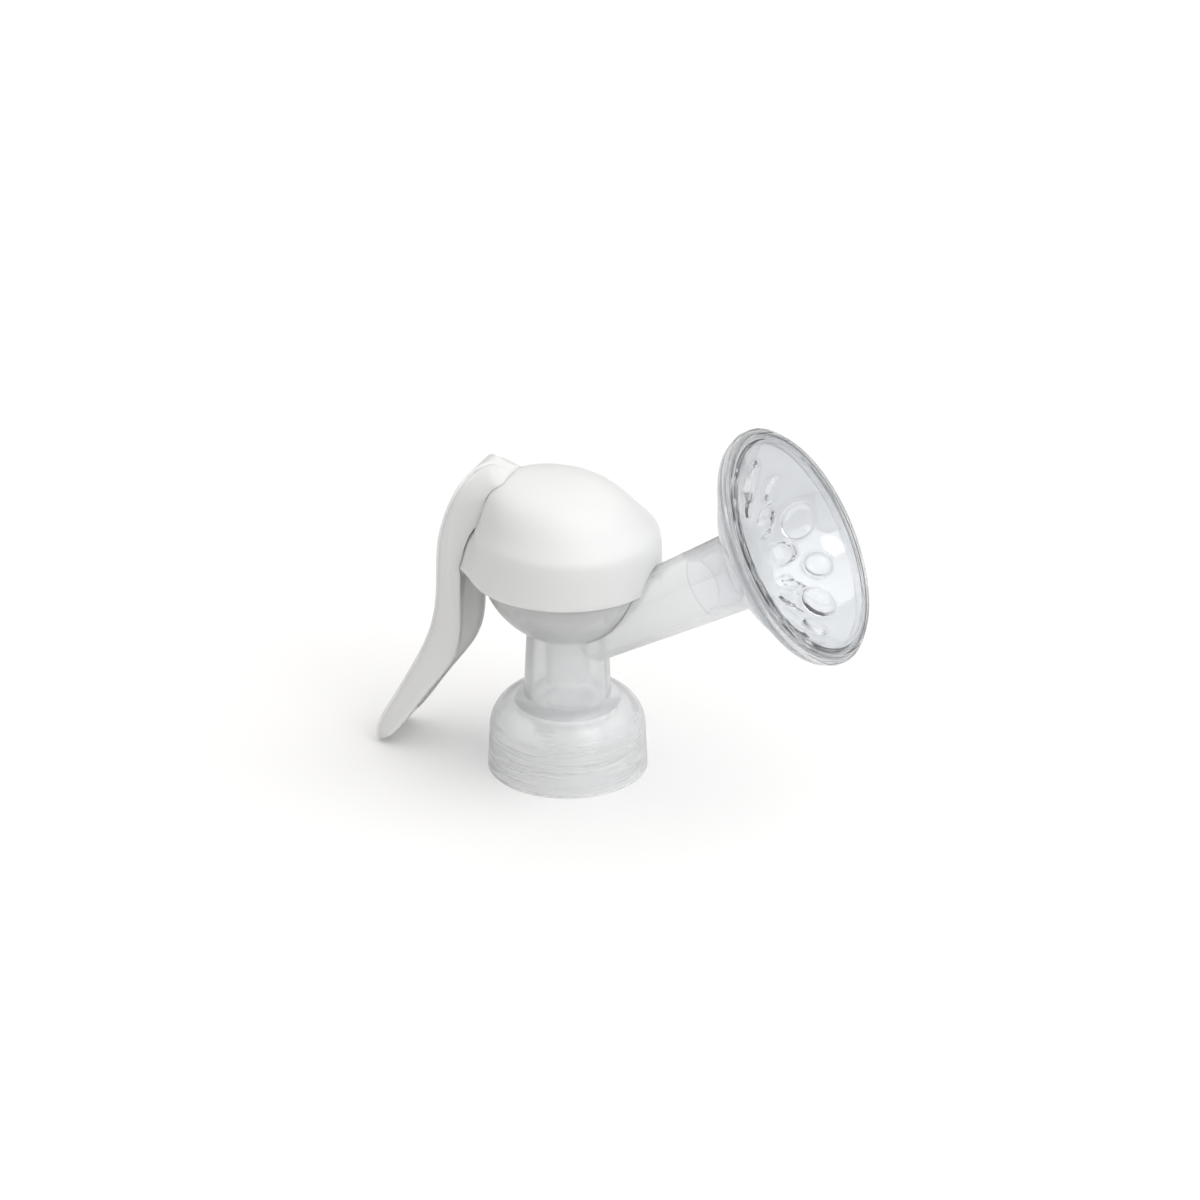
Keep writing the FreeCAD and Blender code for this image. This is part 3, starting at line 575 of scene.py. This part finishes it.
for name in ("diaphragm_stem", "stem_retainer"):
    finish(nodes[name], white_plastic)
finish(nodes["hinge_pin"], material("ground_steel", (0.62, 0.62, 0.63), (0.55, 0.55, 0.57),
                                    (0.25, 0.4), Metallic=1.0))


# ---------------------------------------------------------------- handle
# White lever of U section, moulded in one piece. A proud strip runs down its spine, the
# cheeks hug the cover, and an arm with a fork reaches into the cover to lift the stem.

# The hinge in X and Z, and the spine and the front edge of the lever as points from it.
HINGE = (-28.6, 60.5)
BACK = [(-24.3, -60.1), (-26.5, -56.9), (-20.6, -46.9), (-14.5, -35.9), (-8.0, -23.3),
        (-5.7, -10.0), (-6.2, 4.2), (-1.6, 17.0), (2.6, 24.2), (6.2, 26.8), (9.6, 26.5),
        (12.8, 23.8)]
FRONT = [(-24.3, -60.1), (-20.2, -58.1), (-15.1, -50.7), (-8.1, -40.2), (0.6, -29.6),
         (1.1, -16.0), (0.8, -3.2), (2.8, 5.7), (5.3, 9.2)]


def smooth_line(poles, count):
    """Evenly spaced points of a smooth curve drawn by its control points."""
    curve = bpy.data.curves.new("line", "CURVE")
    curve.dimensions = "3D"
    spline = curve.splines.new("NURBS")
    spline.points.add(len(poles) - 1)
    for spot, (x, z) in zip(spline.points, poles):
        spot.co = (x + HINGE[0], 0, z + HINGE[1], 1)
    spline.order_u, spline.use_endpoint_u, spline.resolution_u = 4, True, 40
    drawn = bpy.data.objects.new("line", curve)
    mesh = bpy.data.meshes.new_from_object(drawn)
    fine = [vert.co.copy() for vert in mesh.vertices]
    bpy.data.objects.remove(drawn)
    walked = [0.0]
    for a, b in zip(fine, fine[1:]):
        walked.append(walked[-1] + (b - a).length)
    points, k = [], 0
    for i in range(count):
        goal = walked[-1] * i / (count - 1)
        while k < len(fine) - 2 and walked[k + 1] < goal:
            k += 1
        share = (goal - walked[k]) / max(walked[k + 1] - walked[k], 1e-9)
        points.append(fine[k].lerp(fine[k + 1], min(share, 1.0)))
    return points


def in_cover(x, y, z, gap):
    """True where a point is inside the cover grown by the gap."""
    if not LOWER_EDGE - gap < z < CROWN + gap:
        return False
    drift = row_at(COVER, z)[0]
    turn = math.atan2(-y, drift - x)
    low = reach_at(max(z - gap, LOWER_EDGE), turn)
    return math.hypot(x - drift, y) < low + gap * (0.6 if z > 80 else 1.0)


WALL, CHEEK = 1.8, 9.6                # wall of the U section and its half width
ARCH_UP = 75.0, 81.8, 87.3, 87.3      # the head's pointed arch: heights of its control points
ARCH_OUT = CHEEK, CHEEK, 5.28, 0.0    # and their half widths


def on_arch(poles, t):
    """The value of a four-point curve at t."""
    a, b, c, d = poles
    return (a * (1 - t) ** 3 + 3 * b * t * (1 - t) ** 2 + 3 * c * t * t * (1 - t)
            + d * t ** 3)


def arch_half(z):
    """Half width of the head's pointed arch at a height, on its outside."""
    if z <= ARCH_UP[0]:
        return CHEEK
    low, high = 0.0, 1.0
    for _ in range(24):
        t = (low + high) / 2
        low, high = (t, high) if on_arch(ARCH_UP, t) < z else (low, t)
    return on_arch(ARCH_OUT, t)


def between(value, low, high):
    """How far a value is on its way from low to high, from 0 to 1."""
    return min(max((value - low) / (high - low), 0.0), 1.0)


STATIONS = 128
INSIDE = Vector((-12, 0, 62))         # the head's sections all point to this spot
TIP_ROUND = 4.0
STRIP = 0.75
spine = smooth_line(BACK, STATIONS)
front = smooth_line(FRONT, 160)


def front_depth(at, inward):
    """Distance from a point of the spine to the lever's front line, along a direction."""
    best = 99.0
    for a, b in zip(front, front[1:]):
        edge = b - a
        cross = inward.x * edge.z - inward.z * edge.x
        if abs(cross) < 1e-9:
            continue
        gap = a - at
        far = (gap.x * edge.z - gap.z * edge.x) / cross
        share = (gap.x * inward.z - gap.z * inward.x) / cross
        if far > 0 and -0.02 <= share <= 1.02:
            best = min(best, far)
    return best


def depth_at(at, inward, half):
    """How deep a cheek reaches from the spine before it meets the front line or the cover."""
    deep = min(front_depth(at, inward), 26.0)
    step = 0.1
    for i in range(int(deep / step)):
        spot = at + inward * i * step
        gap = CLOSE_GAP + SWING_GAP * between(spot.z, 66, 59)
        if in_cover(spot.x, min(half, arch_half(spot.z)), spot.z, gap):
            return i * step
    return deep


CLOSE_GAP, SWING_GAP = 0.15, 0.6      # to the cover: everywhere, and more by its lower edge
sections = []
for i in range(STATIONS):
    before, after = spine[max(i - 1, 0)], spine[min(i + 1, STATIONS - 1)]
    along = (after - before).normalized()
    at = spine[i]
    turn_in = between(at.z, 50, 63)
    inward = (Vector((along.z, 0, -along.x)) * (1 - turn_in)
              + (INSIDE - at).normalized() * turn_in).normalized()
    sections.append([at, inward, depth_at(at, inward, CHEEK),
                     depth_at(at, inward, CHEEK - WALL)])
for _ in range(3):
    for k in (2, 3):
        row = [section[k] for section in sections]
        for i in range(1, STATIONS - 1):
            sections[i][k] = min(row[i], (row[i - 1] + 2 * row[i] + row[i + 1]) / 4)
to_tip = [0.0]
for a, b in zip(spine, spine[1:]):
    to_tip.append(to_tip[-1] + (b - a).length)


def section_points(i):
    """One ring of the lever's section: outside from edge to edge, then the hollow."""
    at, inward, deep, lip = sections[i]
    deep = max(deep, 0.9)
    lip = max(min(lip, deep), 0.9)
    rounding = max(1 - to_tip[i] / TIP_ROUND, 0.0)
    tip = 0.85 + 0.15 * math.sqrt(1 - rounding ** 2)

    # The ridge down the cheek starts near the spine at the head and ends near the front edge.
    ridge = deep * min(max(0.89 - (at.z - 37) * 0.0165, 0.08), 0.97)
    widest = min(CHEEK, arch_half((at + inward * ridge).z))
    lean = 0.2 + 0.3 * between(at.z, 65, 85)

    # Over the head's crest the strip fades out and the corner curls round.
    crest = between(at.x, -25, -17)
    crest *= crest * (3 - 2 * crest)
    curl = 4.5 * crest

    def half_width(a):
        """Strip, groove, rear face up to the ridge, and front face beyond it."""
        if a >= ridge:
            side = CHEEK - 0.7 * (a - ridge) / max(deep - ridge, 0.1)
            side = min(side, arch_half((at + inward * a).z))
        else:
            side = widest - (ridge - a) * lean
            if a < STRIP:
                side += 0.3 * (1 - crest)
            elif a < STRIP + 0.3:
                side -= 0.15 * (1 - crest)
        if a < curl:
            side -= curl - math.sqrt(curl ** 2 - (curl - a) ** 2)
        return max(side, 0.6) * tip

    depths = [deep, deep - 0.2]
    depths += [ridge + (deep - 0.2 - ridge) * k / 8 for k in (7, 6, 5, 4, 3, 2, 1)] + [ridge]
    start = min(STRIP + 0.35, ridge * 0.9)
    depths += [start + (ridge - start) * k / 4 for k in (3, 2, 1, 0)]
    depths += [min(STRIP + 0.2, start * 0.9), min(STRIP, start * 0.8), min(0.35, start * 0.5)]
    side = [(a, half_width(a)) for a in depths]
    corner = side[-1][1]
    crown = [(0.1, corner * 0.985), (0.0, corner * 0.95)]
    crown += [(0.0, corner * k / 6) for k in (5, 4, 3, 2, 1)]
    outside = [(a, -y) for a, y in side + crown] + [(0.0, 0.0)]
    outside += [(a, y) for a, y in (side + crown)[::-1]]
    hollow = between(to_tip[i], 6, 12)
    bottom = lip - max(lip - WALL - 0.15, 0.0) * hollow
    inner = []
    for k in range(9):
        a = lip + (bottom - lip) * k / 8
        inner.append((a, max(half_width(max(a, STRIP + 0.4)) - WALL, 0.3)))
    hollow_row = inner + [(bottom, inner[-1][1] * k / 4) for k in (3, 2, 1)]
    inside = hollow_row + [(bottom, 0.0)] + [(a, -y) for a, y in hollow_row[::-1]]
    return [at + inward * a + Vector((0, y, 0)) for a, y in outside + inside]


bm = bmesh.new()
count = len(section_points(0))
ring = list(bmesh.ops.create_circle(bm, segments=count, radius=MM)["verts"])
first = ring
for i in range(STATIONS):
    if i:
        ring = grown(bm, ring)
    for vert, spot in zip(ring, section_points(i)):
        vert.co = spot * MM
for row in (first, ring):
    cap = bmesh.ops.contextual_create(bm, geom=edges_round(bm, row))["faces"]
    bmesh.ops.triangulate(bm, faces=cap, ngon_method="EAR_CLIP")
lever = new_piece("lever", bm, "handle", "handle")
eased(lever, 0.35)
finish(lever, white_plastic)

# The arm inside the cover: a plate with a fork for the stem and a hole for the pin.
ARM_HALF, FORK_HALF, PIN_HOLE = 3.6, 1.9, 1.55
ARM = [(-4.9, -3.5), (2.8, -3.3), (3.0, 2.0), (5.4, 6.2), (11.6, 6.9), (34.6, 7.1), (34.6, 8.6),
       (27.1, 10.0), (10.4, 10.0), (6.6, 14.5), (3.6, 17.5), (0.7, 17.5), (-2.9, 9.5),
       (-4.4, 3.5)]
bm = bmesh.new()
plate = bm.faces.new([bm.verts.new(Vector((x + HINGE[0], -ARM_HALF, z + HINGE[1])) * MM)
                      for x, z in ARM])
moved = bmesh.ops.extrude_face_region(bm, geom=[plate])["geom"]
bmesh.ops.translate(bm, verts=[v for v in moved if isinstance(v, bmesh.types.BMVert)],
                    vec=Vector((0, 2 * ARM_HALF, 0)) * MM)
bmesh.ops.bevel(bm, geom=bm.edges[:], offset=0.4 * MM, segments=2, profile=0.5,
                affect="EDGES", material=-1, clamp_overlap=True)
arm = new_piece("fork_arm", bm, "handle", None)
carved(arm, block((-1.2, -FORK_HALF, 60), (9, FORK_HALF, 75)))
hole = bmesh.new()
bmesh.ops.create_cone(hole, cap_ends=True, segments=40, radius1=PIN_HOLE * MM,
                      radius2=PIN_HOLE * MM, depth=30 * MM,
                      matrix=Matrix.Translation(Vector((HINGE[0], 0, HINGE[1])) * MM)
                      @ Matrix.Rotation(math.pi / 2, 4, "X"))
carved(arm, hole)
finish(arm, white_plastic)


# ---------------------------------------------------------------- floor, light and camera
# A plain white table that runs out of view, a broad soft light overhead, a large weak one in
# front and white walls. Clear pieces see the table and the walls darker than they look.

bm = bmesh.new()
bmesh.ops.create_grid(bm, x_segments=1, y_segments=1, size=6.0)
bmesh.ops.translate(bm, verts=bm.verts[:], vec=(0, 0, -0.0001))
floor = new_piece("floor", bm, None)
white_table = material("white_table", (0.9, 0.896, 0.892), (0.895, 0.891, 0.887), (0.6, 0.7),
                       ripple=0.0, grain=0.0)
tree, link = white_table.node_tree.nodes, white_table.node_tree.links.new
seen, dimmed = tree.new("ShaderNodeLightPath"), colour_mix(tree, (0.72, 0.717, 0.713))
link(seen.outputs["Is Camera Ray"], dimmed.inputs["Factor"])
link(tree["Principled BSDF"].inputs["Base Color"].links[0].from_socket, dimmed.inputs["B"])
link(dimmed.outputs["Result"], tree["Principled BSDF"].inputs["Base Color"])
finish(floor, white_table)

world = bpy.data.worlds.new("studio")
bpy.context.scene.world = world
world.use_nodes = True
sky, sky_link = world.node_tree.nodes, world.node_tree.links.new
where = sky.new("ShaderNodeTexCoord")
split = sky.new("ShaderNodeSeparateXYZ")
ramp = sky.new("ShaderNodeValToRGB")
for spot, (place, grey) in zip(ramp.color_ramp.elements, ((0.02, 0.06), (0.6, 1.0))):
    spot.position, spot.color = place, (grey, grey * 0.995, grey * 0.985, 1)
step = ramp.color_ramp.elements.new(0.14)
step.color = (0.42, 0.418, 0.415, 1)
sky_link(where.outputs["Generated"], split.inputs["Vector"])
sky_link(split.outputs["Z"], ramp.inputs["Fac"])
glance, walls = sky.new("ShaderNodeLightPath"), colour_mix(sky, second=(1.1, 1.1, 1.1))
sky_link(glance.outputs["Is Camera Ray"], walls.inputs["Factor"])
sky_link(ramp.outputs["Color"], walls.inputs["A"])
sky_link(walls.outputs["Result"], sky["Background"].inputs["Color"])
sky["Background"].inputs["Strength"].default_value = 0.92


def lamp_at(name, kind, place, power, **settings):
    """A lamp that looks at the middle of the pump."""
    lamp = bpy.data.lights.new(name, kind)
    lamp.energy = power
    for key, value in settings.items():
        setattr(lamp, key, value)
    light = bpy.data.objects.new(name, lamp)
    light.location = place
    light.rotation_mode = "QUATERNION"
    light.rotation_quaternion = (Vector((0, 0, 0.05)) - Vector(place)).to_track_quat("-Z", "Y")
    bpy.context.scene.collection.objects.link(light)


lamp_at("ceiling", "SUN", (0.8, 0.05, 1.1), 1.25, angle=math.radians(60))
lamp_at("fill", "AREA", (0.72, -0.75, 0.2), 1.3, shape="SQUARE", size=0.9)
lamp_at("glint", "AREA", (0.7, -0.35, 0.75), 0.6, shape="SQUARE", size=0.3)

AZIMUTH, HEIGHT = math.radians(21.44), math.radians(25.13)
back = Vector((math.sin(AZIMUTH) * math.cos(HEIGHT), -math.cos(AZIMUTH) * math.cos(HEIGHT),
               math.sin(HEIGHT)))
right = Vector((math.cos(AZIMUTH), math.sin(AZIMUTH), 0))
up = back.cross(right)
lens = bpy.data.cameras.new("camera")
lens.lens, lens.sensor_width = 120, 36
lens.clip_start, lens.clip_end = 0.05, 20
camera = bpy.data.objects.new("camera", lens)
camera.location = (right * 8.83 + up * 44.25 + back * 1098.42) * MM
camera.rotation_mode = "QUATERNION"
camera.rotation_quaternion = Matrix((right, up, back)).transposed().to_quaternion()
bpy.context.scene.collection.objects.link(camera)
bpy.context.scene.camera = camera
bpy.context.scene.view_settings.view_transform = "Standard"
bpy.context.scene.cycles.transmission_bounces = 20
bpy.context.scene.cycles.max_bounces = 24
bpy.context.scene.cycles.transparent_max_bounces = 24
